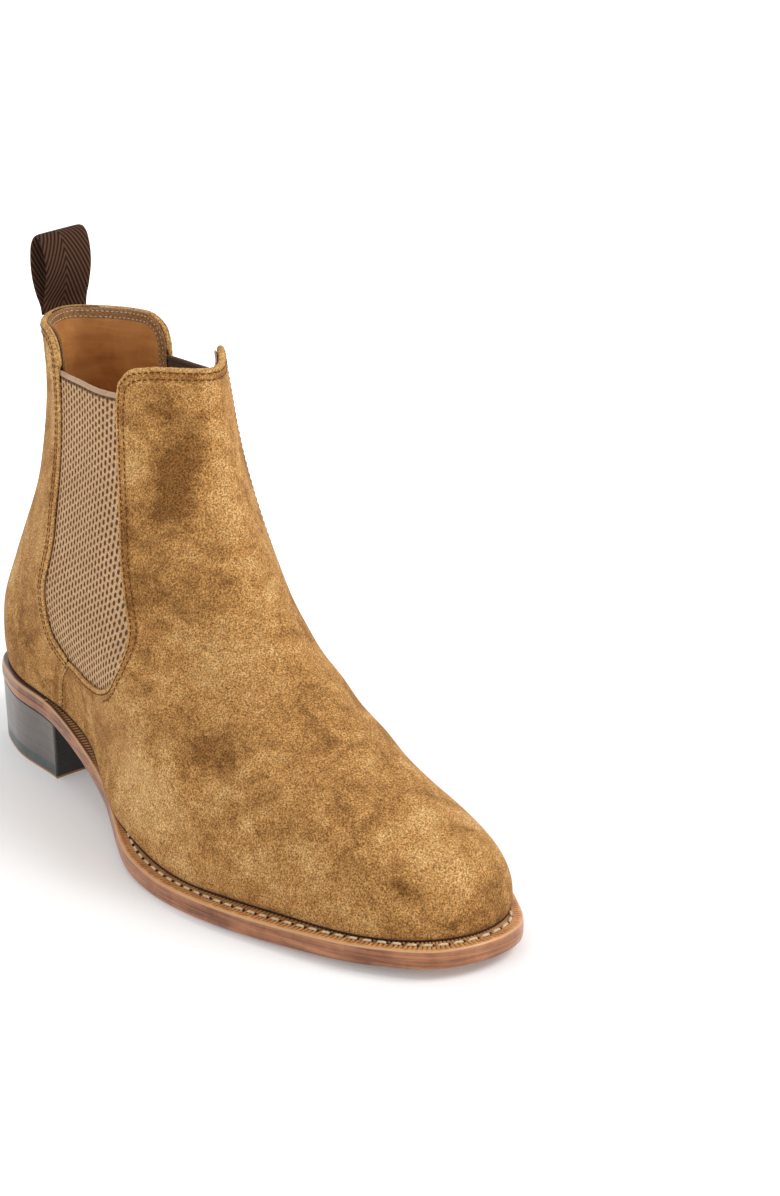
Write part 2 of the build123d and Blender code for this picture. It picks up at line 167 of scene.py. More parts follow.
def centre_line(x):
    return AXIS_Y + TOE_SWING * np.clip((x - SWING_START) / SWING_RUN, 0, 1) ** 1.3


SECTION_KEYS, SECTION_BACK, SECTION_FRONT, SECTION_OUTER, SECTION_INNER = (
    np.array(column, float) for column in zip(*SECTIONS)
)
ROUNDING = 2 * np.sqrt(PLACES * (1 - PLACES))


def skin(z, angle):
    """Points of the upper's outer surface; angle 0 is the back, pi the front."""
    down = smooth_weights(SECTION_KEYS, np.clip(z, SECTION_KEYS[0], SECTION_KEYS[-1]))
    back, front = down @ SECTION_BACK, down @ SECTION_FRONT
    along = (1 - np.cos(angle)) / 2
    full = smooth_weights(PLACES, along) / ROUNDING
    table = np.where((np.sin(angle) >= 0)[:, None], down @ SECTION_OUTER, down @ SECTION_INNER)
    width = (table * full).sum(axis=1)
    x = back + (front - back) * along
    return np.stack([x, centre_line(x) - width * np.sin(angle), z], axis=1)


def unit(vectors):
    return vectors / np.linalg.norm(vectors, axis=1, keepdims=True)


def inward(z, angle):
    """Unit vectors into the boot."""
    step_z, step_a = 0.5, 0.01
    up = skin(z + step_z, angle) - skin(z - step_z, angle)
    across = skin(z, angle + step_a) - skin(z, angle - step_a)
    return unit(np.cross(up, across))


def side_angle(x, z, medial):
    """Angle of the point of the skin that has this x and z, on the outer or the inner side."""
    down = smooth_weights(SECTION_KEYS, z)
    back, front = down @ SECTION_BACK, down @ SECTION_FRONT
    angle = np.arccos(np.clip(1 - 2 * (x - back) / (front - back), -1, 1))
    return TAU - angle if medial else angle


def underside(x):
    """Height of the outsole's underside at x."""
    table = np.array(SOLE_UNDERSIDE, float)
    return smooth_weights(table[:, 0], np.atleast_1d(x)) @ table[:, 1]


def smoothstep(value):
    value = np.clip(value, 0, 1)
    return value * value * (3 - 2 * value)


def round_rise(value):
    """Quarter circle from 0 at 0 to 1 at 1."""
    return np.sqrt(1 - (1 - np.clip(value, 0, 1)) ** 2)


def relief(points):
    """How far the suede stands in or out where it has settled in soft waves, in millimetres."""
    x, y, z = points.T
    instep = np.exp(-((x - 45) / 38) ** 2) * np.exp(-((z - 62) / 30) ** 2)
    waves = np.sin(0.16 * x + 0.21 * z + 0.03 * y) + 0.6 * np.sin(0.09 * x - 0.27 * z + 0.05 * y + 1.3)
    vamp = np.exp(-((x - 20) / 60) ** 2) * np.exp(-((z - 40) / 20) ** 2)
    drape = np.sin(0.11 * x + 0.05 * y - 0.14 * z + 0.7) + 0.5 * np.sin(0.23 * x + 0.1 * z)
    shaft = smoothstep((z - 80) / 30) * np.sin(0.13 * x + 0.08 * z + 0.11 * y)
    return 0.5 * instep * waves + 0.4 * vamp * drape + 0.3 * shaft


def settled(points):
    """Moves points of any layer to where the boot has settled: the inner front corner curls up."""
    x, y, z = points.T
    curl = np.exp(-((x + 27) / 9) ** 2) * smoothstep((z - 148) / 22) * (y > AXIS_Y)
    return points + np.column_stack([0.4 * curl, -1.6 * curl, 4.4 * curl])


# ---- mesh building
def make_object(name, points, faces, material_index=None):
    """Smooth mesh object from millimetre points."""
    mesh = bpy.data.meshes.new(name)
    mesh.from_pydata((np.asarray(points) * MM).tolist(), [], [list(face) for face in faces])
    if material_index is not None:
        mesh.polygons.foreach_set("material_index", material_index)
    mesh.validate()
    mesh.polygons.foreach_set("use_smooth", [True] * len(mesh.polygons))
    piece = bpy.data.objects.new(name, mesh)
    bpy.context.scene.collection.objects.link(piece)
    return piece


def set_uv(piece, coordinates):
    """Gives each vertex the same UV in every face, in millimetres."""
    layer = piece.data.uv_layers.new(name="flat")
    loops = np.empty(len(piece.data.loops), dtype=np.int32)
    piece.data.loops.foreach_get("vertex_index", loops)
    layer.data.foreach_set("uv", np.asarray(coordinates, float)[loops].ravel())


def set_value(piece, name, values):
    """Stores one number for each vertex, for the materials."""
    layer = piece.data.attributes.new(name, "FLOAT", "POINT")
    layer.data.foreach_set("value", np.asarray(values, float))


def grid_faces(rows, columns, close_rows=False, close_columns=False):
    faces = []
    for i in range(rows if close_rows else rows - 1):
        for j in range(columns if close_columns else columns - 1):
            a, b = i * columns + j, i * columns + (j + 1) % columns
            below = ((i + 1) % rows) * columns
            faces.append((a, b, below + (j + 1) % columns, below + j))
    return faces


def tube_faces(rings, sides):
    """Faces of a closed tube: its wall, then both ends."""
    last = (rings - 1) * sides
    ends = [tuple(range(sides))[::-1], tuple(range(last, last + sides))]
    return grid_faces(rings, sides, close_columns=True) + ends


def rings_round(middle, out, wide, high, sides):
    """Oval rings round a path: wide along its normals, high along Z."""
    turns = TAU * np.arange(sides) / sides
    rings = middle[:, None] + out[:, None] * (wide * np.cos(turns))[:, None]
    rings[:, :, 2] += high * np.sin(turns)
    return rings.reshape(-1, 3), turns


def path_reach(path):
    """Distance along a path to each of its points."""
    return np.concatenate([[0], np.cumsum(np.linalg.norm(np.diff(path, axis=0), axis=1))])


def distance_inside(points, outline):
    """Distance of side-view points to a closed outline, positive inside."""
    best = np.full(len(points), np.inf)
    inside = np.zeros(len(points), bool)
    px, pz = points[:, 0], points[:, 1]
    for (ax, az), (bx, bz) in zip(outline, np.roll(outline, -1, axis=0)):
        dx, dz = bx - ax, bz - az
        length = dx * dx + dz * dz
        if length == 0:
            continue
        t = np.clip(((px - ax) * dx + (pz - az) * dz) / length, 0, 1)
        best = np.minimum(best, np.hypot(px - ax - t * dx, pz - az - t * dz))
        if az != bz:
            inside ^= ((az > pz) != (bz > pz)) & (px < (bx - ax) * (pz - az) / (bz - az) + ax)
    return np.where(inside, best, -best)


def split_at(table, faces, value, level):
    """Cuts the faces along value = level. table has one row of numbers for each vertex."""
    made = {}
    new_rows = []

    def middle(a, b):
        key = (a, b) if a < b else (b, a)
        if key not in made:
            t = (level - value[key[0]]) / (value[key[1]] - value[key[0]])
            made[key] = len(table) + len(new_rows)
            new_rows.append(table[key[0]] * (1 - t) + table[key[1]] * t)
        return made[key]

    out = []
    for face in faces:
        low = [value[v] < level for v in face]
        if all(low) or not any(low):
            out.append(face)
            continue
        below, above = [], []
        for a, b in zip(face, face[1:] + face[:1]):
            (below if value[a] < level else above).append(a)
            if (value[a] < level) != (value[b] < level):
                cut = middle(a, b)
                below.append(cut)
                above.append(cut)
        out.extend(part for part in (below, above) if len(part) > 2)
    return np.concatenate([table, np.array(new_rows).reshape(-1, table.shape[1])]), out


class Panel:
    """A piece of one layer of the upper, cut out of the skin by a side-view outline."""

    # Distances from the edge at which the mesh gets a ring of vertices, for the rounded rim.
    STEPS = (0.0, 0.3, 0.75, 1.3, 2.0)
    LOWEST, MIDDLE, HIGHEST = 5, 62, 178

    def __init__(self, outline, inset=0.0, foot=WELT_TOP - 0.5, columns=440, row_step=1.15):
        self.outline = np.asarray(outline, float)
        self.inset = inset
        self.foot = foot
        lower = np.arange(self.LOWEST, self.MIDDLE, row_step * 0.7)
        heights = np.concatenate([lower, np.arange(self.MIDDLE, self.HIGHEST, row_step)])
        # each vertex is kept as (height, cos, sin), so that a cut edge can be shared out evenly
        zz, aa = np.meshgrid(heights, np.arange(columns) * TAU / columns, indexing="ij")
        table = np.stack([zz.ravel(), np.cos(aa).ravel(), np.sin(aa).ravel()], axis=1)
        faces = [list(face) for face in grid_faces(len(heights), columns, close_columns=True)]
        value = self.edge_distance(table)
        faces = [face for face in faces if max(value[v] for v in face) > 0]
        for level in self.STEPS:
            table, faces = split_at(table, faces, self.edge_distance(table), level)
        value = self.edge_distance(table)
        self.table = table
        self.keep([face for face in faces if np.mean([value[v] for v in face]) > 0])

    def keep(self, faces):
        """Keeps these faces and the vertices that they use."""
        used = sorted({v for face in faces for v in face})
        place = {v: i for i, v in enumerate(used)}
        self.table = self.table[used]
        self.faces = [[place[v] for v in face] for face in faces]

    def angles(self, table):
        return np.arctan2(table[:, 2], table[:, 1]) % TAU

    def edge_distance(self, table):
        points = skin(table[:, 0], self.angles(table))
        above = points[:, 2] - underside(points[:, 0]) - self.foot
        return np.minimum(distance_inside(points[:, [0, 2]], self.outline) - self.inset, above)

    def sheet_points(self, depth, with_relief):
        """Positions at a depth, tucked in at the foot where the layer meets the welt."""
        z, angle = self.table[:, 0], self.angles(self.table)
        outer = skin(z, angle)
        foot = (outer[:, 2] - underside(outer[:, 0]) - WELT_TOP) / TUCK_HEIGHT
        tuck = TUCK_DEPTH * (1 - round_rise(foot))
        lift = relief(outer) if with_relief else 0
        return settled(outer) + (depth + tuck - lift)[:, None] * inward(z, angle)

    def build(self, name, outer_depth, inner_depth, round_off=1.3, with_relief=False):
        """Closed shell with a rounded rim. inner_depth is a number or a function of height."""
        z = self.table[:, 0]
        inner_depth = inner_depth(z) if callable(inner_depth) else np.full(len(z), inner_depth)
        middle = (outer_depth + inner_depth) / 2
        edge = np.maximum(self.edge_distance(self.table), 0)
        bow = round_rise(edge / round_off)
        outer = self.sheet_points(middle + (outer_depth - middle) * bow, with_relief)
        inner = self.sheet_points(middle + (inner_depth - middle) * bow, with_relief)
        free = np.flatnonzero(edge >= ON_RIM)
        place = np.arange(len(z))
        place[free] = len(z) + np.arange(len(free))
        faces = [face[::-1] for face in self.faces]
        faces += [[place[v] for v in face] for face in self.faces]
        inner_faces = [0] * len(self.faces) + [1] * len(self.faces)
        piece = make_object(name, np.concatenate([outer, inner[free]]), faces, inner_faces)
        flat = outer[:, [0, 2]]
        set_uv(piece, np.concatenate([flat, flat[free]]))
        side_view = skin(z, self.angles(self.table))[:, [0, 2]]
        from_outline = np.maximum(distance_inside(side_view, self.outline), 0)
        set_value(piece, "from_edge", np.concatenate([from_outline, from_outline[free]]))
        return piece


# ---- the sole's outline
def sole_loop(samples=720):
    """Dense closed outline of the sole, from the back of the heel round the outer side."""
    corners = np.array(SOLE_OUTLINE, float) + (0, AXIS_Y)
    around = np.concatenate([corners[-3:], corners, corners[:4]])
    reach = path_reach(around)
    start, end = reach[3], reach[3 + len(corners)]
    return smooth_weights(reach, start + (end - start) * np.arange(samples) / samples) @ around


def outward_normals(loop):
    along = unit(np.roll(loop, -1, axis=0) - np.roll(loop, 1, axis=0))
    return np.stack([along[:, 1], -along[:, 0]], axis=1)


LOOP = sole_loop()
LOOP_OUT = outward_normals(LOOP)


def along_sole(places):
    """Points and outward normals of the sole's outline at fractional places round it."""
    index = np.arange(len(LOOP))
    return [np.column_stack([np.interp(places, index, column, period=len(LOOP)) for column in table.T])
            for table in (LOOP, LOOP_OUT)]


def at_sole(inset, height, loop=LOOP, out=LOOP_OUT):
    """Points on the sole's outline, inset inwards and height above the outsole's underside."""
    flat = loop - out * inset
    return np.column_stack([flat, underside(flat[:, 0]) + height])


# ---- materials
class Shader:
    """A new node material with short calls for the nodes it needs."""

    def __init__(self, name, **constants):
        self.material = bpy.data.materials.new(name)
        self.material.use_nodes = True
        self.tree = self.material.node_tree
        self.bsdf = self.tree.nodes["Principled BSDF"]
        for socket, value in constants.items():
            self.bsdf.inputs[socket.replace("_", " ")].default_value = value

    def node(self, kind, **inputs):
        node = self.tree.nodes.new(kind)
        for key, value in inputs.items():
            self.put(node.inputs[key.replace("_", " ")], value)
        return node

    def put(self, socket, value):
        if isinstance(value, bpy.types.NodeSocket):
            self.tree.links.new(value, socket)
        else:
            socket.default_value = value

    def coordinates(self, kind="Object"):
        return self.node("ShaderNodeTexCoord").outputs[kind]

    def stretched(self, vector, scale):
        return self.node("ShaderNodeMapping", Vector=vector, Scale=scale).outputs["Vector"]

    def noise(self, vector, scale, detail=2.0, roughness=0.5, distortion=0.0):
        node = self.node("ShaderNodeTexNoise", Vector=vector, Scale=scale, Detail=detail,
                         Roughness=roughness, Distortion=distortion)
        return node.outputs["Fac"]

    def math(self, operation, a, b=0.0):
        node = self.tree.nodes.new("ShaderNodeMath")
        node.operation = operation
        self.put(node.inputs[0], a)
        self.put(node.inputs[1], b)
        return node.outputs[0]

    def ramp(self, factor, stops):
        node = self.node("ShaderNodeValToRGB", Fac=factor)
        elements = node.color_ramp.elements
        while len(elements) < len(stops):
            elements.new(0.5)
        for element, (place, colour) in zip(elements, stops):
            element.position = place
            element.color = (*colour, 1.0)
        return node.outputs["Color"]

    def tones(self, factor, dark, light, reach=0.15):
        """Dark to light round the middle of the factor."""
        return self.ramp(factor, [(0.5 - reach, dark), (0.5 + reach, light)])

    def times(self, a, b):
        return self.math("MULTIPLY", a, b)

    def span(self, factor, low, high, to_low=0.0, to_high=1.0):
        node = self.node("ShaderNodeMapRange", Value=factor)
        for index, value in enumerate((low, high, to_low, to_high), start=1):
            node.inputs[index].default_value = value
        return node.outputs["Result"]

    def mix(self, factor, a, b, blend="MIX"):
        node = self.tree.nodes.new("ShaderNodeMix")
        node.data_type = "RGBA"
        node.blend_type = blend
        for socket, value in zip((node.inputs[0], node.inputs[6], node.inputs[7]), (factor, a, b)):
            self.put(socket, (*value, 1.0) if isinstance(value, tuple) else value)
        return node.outputs[2]

    def stored(self, name):
        node = self.tree.nodes.new("ShaderNodeAttribute")
        node.attribute_name = name
        return node.outputs["Fac"]

    def near(self, vector, centre, radii):
        """1 at a millimetre place on the boot, fading to 0 at the radii."""
        scale = [1 / (radius * MM) for radius in radii]
        place = [-at * MM * factor for at, factor in zip(centre, scale)]
        moved = self.node("ShaderNodeMapping", Vector=vector, Scale=scale, Location=place)
        return self.span(self.length(moved.outputs["Vector"]), 0.25, 1.0, 1.0, 0.0)

    def axes(self, vector):
        return self.node("ShaderNodeSeparateXYZ", Vector=vector).outputs

    def total(self, *shares):
        """Weighted sum of (value, weight) pairs."""
        parts = [self.times(value, weight) for value, weight in shares]
        whole = parts[0]
        for part in parts[1:]:
            whole = self.math("ADD", whole, part)
        return whole

    def darkened_breast(self, colour):
        """Blackens what faces the toe: the heel's breast."""
        ahead = self.span(self.axes(self.coordinates("Normal"))[0], 0.8, 0.93)
        return self.mix(ahead, colour, BREAST_DARK)

    def bump(self, height, distance, strength=1.0, normal=None):
        node = self.node("ShaderNodeBump", Height=height, Distance=distance, Strength=strength)
        if normal is not None:
            self.put(node.inputs["Normal"], normal)
        return node.outputs["Normal"]

    def length(self, vector):
        node = self.tree.nodes.new("ShaderNodeVectorMath")
        node.operation = "LENGTH"
        self.put(node.inputs[0], vector)
        return node.outputs["Value"]

    def finish(self, colour, roughness, normal=None):
        self.put(self.bsdf.inputs["Base Color"], colour)
        self.put(self.bsdf.inputs["Roughness"], roughness)
        if normal is not None:
            self.put(self.bsdf.inputs["Normal"], normal)
        return self.material


def suede_material():
    """Napped leather: cloudy patches, streaks like brush marks, a fine two-tone grain, a folded edge, and a
    painted highlight down the front of the shaft.
    """
    s = Shader("suede", Sheen_Weight=0.07, Sheen_Roughness=0.5, Specular_IOR_Level=0.08)
    s.bsdf.inputs["Sheen Tint"].default_value = (1.0, 0.8, 0.55, 1.0)
    where = s.coordinates()
    cloud = s.noise(where, 30.0, detail=3.0, roughness=0.6, distortion=1.4)
    patch = s.noise(where, 95.0, detail=4.0, roughness=0.65, distortion=0.8)
    streak = s.noise(s.stretched(where, (70.0, 70.0, 150.0)), 1.0, detail=3.0, distortion=1.8)
    tone = s.total((cloud, 0.46), (patch, 0.3), (streak, 0.24))
    for centre, radii, push in SUEDE_SHADES:
        tone = s.math("ADD", tone, s.times(s.near(where, centre, radii), push))
    # painted highlight: the forward-facing front of the shaft, in a band of height, is lightened where light
    # falls on it
    facing = s.axes(s.coordinates("Normal"))[0]
    high = s.axes(where)[2]
    front_highlight = s.times(s.span(facing, 0.84, 0.90), s.span(high, 0.098, 0.118))
    tone = s.math("ADD", tone, s.times(front_highlight, 0.045))
    colour = s.ramp(tone, [(0.35, SUEDE_DARK), (0.5, SUEDE_MIDDLE), (0.65, SUEDE_LIGHT)])
    rim = s.stored("from_edge")
    seam = s.times(s.span(rim, 1.1, 1.7), s.span(rim, 4.3, 5.4, 1.0, 0.0))
    colour = s.mix(s.times(seam, 0.5), colour, (0.62, 0.50, 0.42), "MULTIPLY")
    colour = s.mix(s.span(rim, 0.5, 1.5, 0.45, 0.0), colour, SUEDE_LIGHT)
    grain = s.noise(where, 1650.0, detail=2.0, roughness=0.8)
    speck = s.ramp(grain, [(0.36, (0.34, 0.28, 0.23)), (0.5, (0.93, 0.91, 0.89)), (0.64, (1.72, 1.68, 1.6))])
    colour = s.mix(0.9, colour, speck, "MULTIPLY")
    normal = s.bump(s.noise(where, 420.0, detail=3.0, roughness=0.7), 0.0003, 0.5)
    return s.finish(colour, 0.95, s.bump(grain, 0.00022, 0.55, normal))


def leather_noises(s):
    """Faint clouds and fine pores of smooth leather."""
    where = s.coordinates()
    cloud = s.noise(where, 34.0, detail=4.0, roughness=0.6, distortion=1.2)
    return cloud, s.noise(where, 700.0, detail=3.0, roughness=0.6)


def leather_material(name, dark, light, roughness):
    """Smooth leather with soft rub marks."""
    s = Shader(name, Specular_IOR_Level=0.35)
    cloud, pores = leather_noises(s)
    shade = s.tones(pores, (0.6, 0.6, 0.6), (1.15, 1.15, 1.15), 0.1)
    colour = s.mix(0.25, s.tones(cloud, dark, light), shade, "MULTIPLY")
    rough = s.span(cloud, 0.3, 0.7, roughness - 0.07, roughness + 0.1)
    return s.finish(colour, rough, s.bump(pores, 0.00006, 0.7))


def lining_material():
    """Smooth lining leather with a darker binding along its edge."""
    s = Shader("lining", Specular_IOR_Level=0.35)
    where = s.coordinates()
    cloud, pores = leather_noises(s)
    arcs = s.noise(s.stretched(where, (40.0, 40.0, 260.0)), 1.0, detail=3.0, distortion=0.8)
    tone = s.total((cloud, 0.7), (arcs, 0.3))
    colour = s.tones(tone, (0.43, 0.17, 0.046), (0.66, 0.30, 0.095), 0.12)
    weave = s.noise(where, 1500.0, detail=2.0)
    band = s.tones(weave, (0.20, 0.088, 0.03), (0.38, 0.20, 0.085))
    colour = s.mix(s.span(s.stored("from_edge"), 4.5, 4.9, 1.0, 0.0), colour, band)
    return s.finish(colour, s.span(cloud, 0.3, 0.7, 0.36, 0.5), s.bump(pores, 0.00006, 0.7))


def edge_material(name, dark, light, top=None, heel=False):
    """Burnished leather edge with thin streaks along it. top has the tones of its top face."""
    roughness = 0.34 if heel else 0.38
    s = Shader(name, Coat_Weight=0.5 if heel else 0.2, Coat_Roughness=0.16, Specular_IOR_Level=0.4)
    where = s.coordinates()
    streaks = (14.0, 14.0, 60.0) if heel else (24.0, 24.0, 900.0)
    lines = s.noise(s.stretched(where, streaks), 1.0, detail=4.0, roughness=0.65, distortion=0.4)
    cloud = s.noise(where, 60.0, detail=4.0, roughness=0.65)
    colour = s.tones(s.total((lines, 0.55), (cloud, 0.45)), dark, light, 0.09)
    if heel:
        colour = s.darkened_breast(colour)
    if top:
        up = s.axes(s.coordinates("Normal"))[2]
        # painted highlight: a lighter band where the rounded top edge turns from the side to the top face
        top_edge_highlight = s.times(s.span(up, 0.25, 0.5), s.span(up, 0.8, 0.95, 1.0, 0.0))
        face = s.noise(where, 240.0, detail=4.0, roughness=0.7)
        face = s.tones(face, top[0], top[1])
        face = s.mix(s.stored("rib"), face, top[2])
        colour = s.mix(s.span(up, 0.8, 0.95), colour, face)
        colour = s.mix(s.times(top_edge_highlight, 0.75), colour, (0.66, 0.40, 0.20))
    rough = s.span(lines, 0.3, 0.7, roughness - 0.08, roughness + 0.12)
    return s.finish(colour, rough, s.bump(lines, 0.00007, 0.6))


def top_piece_material():
    """Dark rubber with the thin tan layer that wears against the ground."""
    s = Shader("heel_rubber", Coat_Weight=0.3, Coat_Roughness=0.3)
    where = s.coordinates()
    tone = s.noise(where, 220.0, detail=4.0, roughness=0.65)
    colour = s.tones(tone, (0.022, 0.03, 0.031), (0.05, 0.06, 0.06))
    worn = s.span(s.axes(where)[2], 0.0006, 0.0009, 1.0, 0.0)
    colour = s.mix(worn, s.darkened_breast(colour), (0.42, 0.19, 0.08))
    return s.finish(colour, 0.4, s.bump(tone, 0.00006, 0.5))


def elastic_back_material():
    """Inner face of the elastic: a plain weave of its own, painted dark for the shade that falls inside the
    boot.
    """
    s = Shader("elastic_inside_shaded", Sheen_Weight=0.1, Specular_IOR_Level=0.15)
    u, v, _ = s.axes(s.coordinates("UV"))
    over = s.math("SINE", s.times(u, TAU / WEAVE_COLUMN))
    under = s.math("SINE", s.times(v, TAU / WEAVE_ROW))
    weave = s.span(s.times(over, under), -1.0, 1.0)
    colour = s.tones(weave, (0.028, 0.014, 0.008), (0.15, 0.092, 0.055), 0.4)
    return s.finish(colour, 0.9, s.bump(weave, 0.0002, 0.8))


def elastic_material():
    """Ribbed elastic: upright columns of small staggered slots, from the side-view map."""
    s = Shader("elastic", Specular_IOR_Level=0.04)
    u, v, _ = s.axes(s.coordinates("UV"))
    column = s.math("DIVIDE", u, ELASTIC_COLUMN)
    index = s.math("FLOOR", column)
    across = s.math("ABSOLUTE", s.math("SUBTRACT", s.math("FRACT", column), 0.5))
    stagger = s.times(s.math("MODULO", index, 2.0), 0.5)
    row = s.math("ADD", s.math("DIVIDE", v, ELASTIC_ROW), stagger)
    along = s.math("ABSOLUTE", s.math("SUBTRACT", s.math("FRACT", row), 0.5))
    reach = s.math("ADD", s.math("POWER", s.math("DIVIDE", across, SLOT_WIDE), 2.0),
                   s.math("POWER", s.math("DIVIDE", along, SLOT_HIGH), 2.0))
    slot = s.span(reach, 0.5, 1.3, 1.0, 0.0)
    where = s.coordinates()
    yarn = s.noise(s.stretched(where, (900.0, 900.0, 2200.0)), 1.0, detail=2.0)
    cloud = s.noise(where, 60.0, detail=2.0)
    base = s.tones(yarn, (0.43, 0.25, 0.128), (0.68, 0.45, 0.26), 0.2)
    shade = s.tones(cloud, (0.8, 0.78, 0.75), (1.1, 1.1, 1.1))
    base = s.mix(0.3, base, shade, "MULTIPLY")
    colour = s.mix(slot, base, (0.12, 0.06, 0.028))
    # painted shadow: the elastic just below its hem is darkened, where the hem overhangs it
    hem_shadow = s.span(s.stored("from_edge"), 0.9, 1.5, 0.85, 0.0)
    colour = s.mix(hem_shadow, colour, (0.10, 0.05, 0.025))
    height = s.math("SUBTRACT", s.times(yarn, 0.15), slot)
    return s.finish(colour, 0.85, s.bump(height, 0.0007, 1.0))


def webbing_material():
    """Herringbone tape: diagonal ribs that turn at the middle of the tape."""
    s = Shader("webbing", Specular_IOR_Level=0.05)
    u, v, _ = s.axes(s.coordinates("UV"))
    fold = s.math("ABSOLUTE", s.math("SUBTRACT", u, WEBBING_TURN))
    slant = s.math("ADD", fold, s.times(v, WEBBING_SLANT))
    rib = s.math("FRACT", s.math("DIVIDE", slant, WEBBING_RIB))
    ridge = s.math("SINE", s.times(rib, math.pi))
    thread = s.noise(s.stretched(s.coordinates("UV"), (4.0, 4.0, 1.0)), 1.0, detail=2.0)
    tone = s.total((ridge, 0.7), (thread, 0.3))
    tones = [(0.2, (0.018, 0.008, 0.005)), (0.6, (0.052, 0.025, 0.015)), (0.95, (0.13, 0.068, 0.042))]
    colour = s.ramp(tone, tones)
    return s.finish(colour, 0.85, s.bump(tone, 0.0004, 0.9))


def thread_material(name, dark, light):
    s = Shader(name, Specular_IOR_Level=0.06)
    twist = s.noise(s.coordinates(), 1800.0, detail=2.0)
    colour = s.tones(twist, dark, light, 0.2)
    return s.finish(colour, 0.6, s.bump(twist, 0.0001, 0.8))


def plain_material(name, dark, light, scale, roughness, metallic=0.0):
    """Cork, board, rubber and steel: two tones of one noise, with a matching bump."""
    s = Shader(name, Metallic=metallic)
    tone = s.noise(s.coordinates(), scale, detail=4.0, roughness=0.65)
    return s.finish(s.tones(tone, dark, light), roughness, s.bump(tone, 0.0001, 0.6))


# Patches where the suede is made darker or lighter: centre, radii, change of tone.
SUEDE_SHADES = [
    ((-6, -13, 142), (17, 15, 44), -0.13),
    ((-14, -24, 104), (22, 14, 30), -0.07),
    ((52, -36, 50), (20, 24, 18), -0.08),
    ((118, -14, 28), (22, 18, 12), -0.05),
    ((14, -40, 30), (44, 24, 20), 0.10),
    ((28, -20, 76), (20, 14, 12), 0.06),
    ((92, -20, 38), (26, 20, 14), 0.02),
    ((-84, -24, 150), (12, 16, 30), 0.09),
    ((-128, -20, 80), (16, 22, 26), 0.06),
    ((-100, -30, 48), (20, 14, 14), -0.04),
]
SUEDE_DARK = (0.20, 0.09, 0.026)
SUEDE_MIDDLE = (0.42, 0.218, 0.072)
SUEDE_LIGHT = (0.585, 0.36, 0.148)
# Spacing of the elastic's slots in millimetres, and their half sizes as shares of it.
ELASTIC_COLUMN = 2.4
ELASTIC_ROW = 2.8
SLOT_WIDE = 0.27
SLOT_HIGH = 0.34
WEAVE_COLUMN = 0.9
WEAVE_ROW = 0.7
# near black for the faces of the heel that look toward the toe
BREAST_DARK = (0.008, 0.007, 0.007)
WEBBING_TURN = 8.5
WEBBING_SLANT = 0.45
WEBBING_RIB = 1.55


def make_materials():
    welt_top = ((0.46, 0.17, 0.045), (0.74, 0.35, 0.115), (0.075, 0.02, 0.006))
    edge = ((0.18, 0.056, 0.02), (0.46, 0.19, 0.083))
    rand = ((0.11, 0.036, 0.016), (0.36, 0.15, 0.075))
    return {
        "suede": suede_material(),
        "lining": lining_material(),
        "elastic": elastic_material(),
        "elastic_inside_shaded": elastic_back_material(),
        "hem": leather_material("hem", (0.40, 0.255, 0.155), (0.56, 0.38, 0.245), 0.7),
        "webbing": webbing_material(),
        "webbing_plain": leather_material("webbing_plain", (0.02, 0.01, 0.006), (0.05, 0.028, 0.016), 0.85),
        "welt": edge_material("welt", *edge, top=welt_top),
        "rand": edge_material("rand", *rand, top=(welt_top[2],) * 3),
        "sole_edge": edge_material("sole_edge", *edge),
        "heel": edge_material("heel", (0.07, 0.055, 0.047), (0.115, 0.09, 0.076), heel=True),
        "heel_rubber": top_piece_material(),
        "dark_thread": thread_material("dark_thread", (0.085, 0.03, 0.008), (0.17, 0.07, 0.02)),
        "pale_thread": thread_material("pale_thread", (0.50, 0.36, 0.20), (0.80, 0.66, 0.44)),
        "hole": plain_material("hole", (0.012, 0.006, 0.004), (0.04, 0.018, 0.01), 900.0, 0.8),
        "insole": leather_material("insole", (0.42, 0.25, 0.13), (0.56, 0.37, 0.21), 0.6),
        "board": plain_material("board", (0.36, 0.26, 0.17), (0.50, 0.39, 0.27), 300.0, 0.9),
        "cork": plain_material("cork", (0.22, 0.12, 0.06), (0.48, 0.31, 0.17), 500.0, 0.95),
        "steel": plain_material("steel", (0.42, 0.42, 0.43), (0.6, 0.6, 0.61), 900.0, 0.35, 1.0),
    }


def dress(piece, *materials):
    """Fills the piece's material slots in order."""
    slots = piece.data.materials
    for index, material in enumerate(materials):
        if index < len(slots):
            slots[index] = material
        else:
            slots.append(material)


# ---- outlines
def back_outline():
    seam = smooth_path(SIDE_SEAM)
    return np.concatenate([
        [(-FAR, BACK_TOP + 1)], smooth_path(BACK_CORNER), smooth_path(GORE_BACK)[1:], seam[1:], [(-FAR, -30)],
    ])


def front_outline():
    seam = smooth_path(SIDE_SEAM)[::-1]
    return np.concatenate([
        seam, smooth_path(GORE_FOOT)[1:], smooth_path(GORE_FRONT)[1:], smooth_path(FRONT_CORNER)[1:],
        [(FAR, FRONT_TOP), (FAR, -30)],
    ])


def gore_outline():
    """The gore's piece runs hidden behind the panels by one margin and ends inside its hem."""
    margin = 6.0
    top = GORE_TOP - HEM_HEIGHT * 0.6
    back = smooth_path(GORE_BACK)[2:] - (margin, 0)
    foot = smooth_path(GORE_FOOT)[1:] - (0, margin)
    front = smooth_path(GORE_FRONT)[1:-2] + (margin, 0)
    back_side, front_side = (path[path[:, 1] < top] for path in (back, front))
    return np.concatenate([[(back[0][0], top)], back_side, foot, front_side, [(front[-1][0], top)]])


